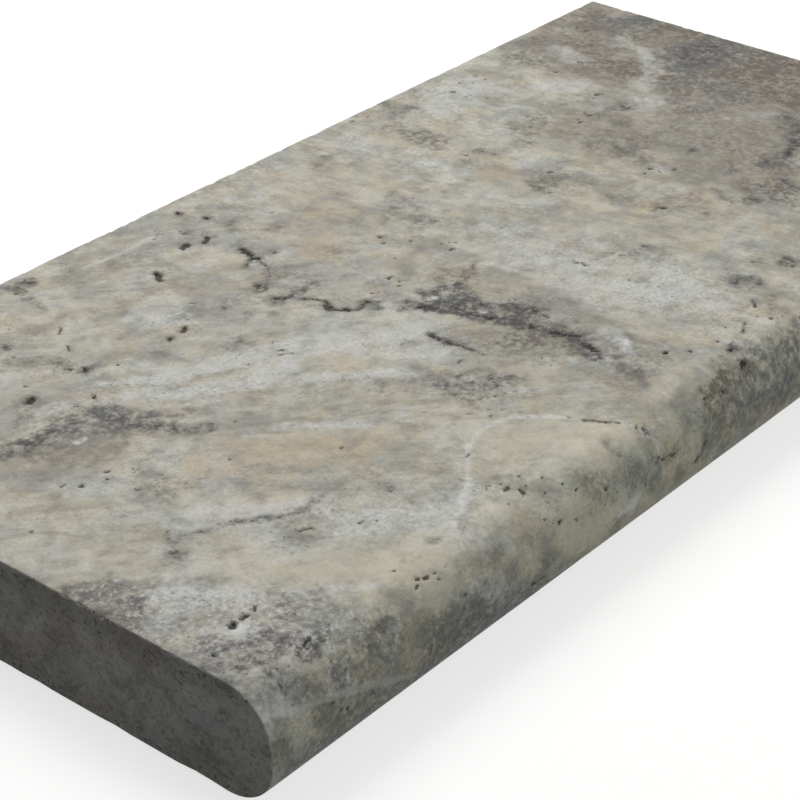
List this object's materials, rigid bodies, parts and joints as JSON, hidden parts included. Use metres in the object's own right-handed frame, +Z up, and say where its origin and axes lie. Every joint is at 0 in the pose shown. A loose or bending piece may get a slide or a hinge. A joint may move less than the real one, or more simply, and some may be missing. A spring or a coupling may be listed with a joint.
{
  "type": "travertine bullnose coping",
  "caption": "Rectangular travertine slab with a long edge worked to a full bullnose and rubbed sawn corners, laid as the edging of a pool, step or terrace.",
  "frame": {"origin": "centre of the footprint, on the sawn underside", "axes": "+X along the length, -Y towards the bullnose, +Z up out of the tread"},
  "size_m": [0.61, 0.305, 0.05],
  "materials": {
    "travertine": "unfilled silver travertine, honed and brushed, with open pores"
  },
  "bodies": {
    "root": {"bullnose_coping": "travertine"}
  },
  "joints": []
}
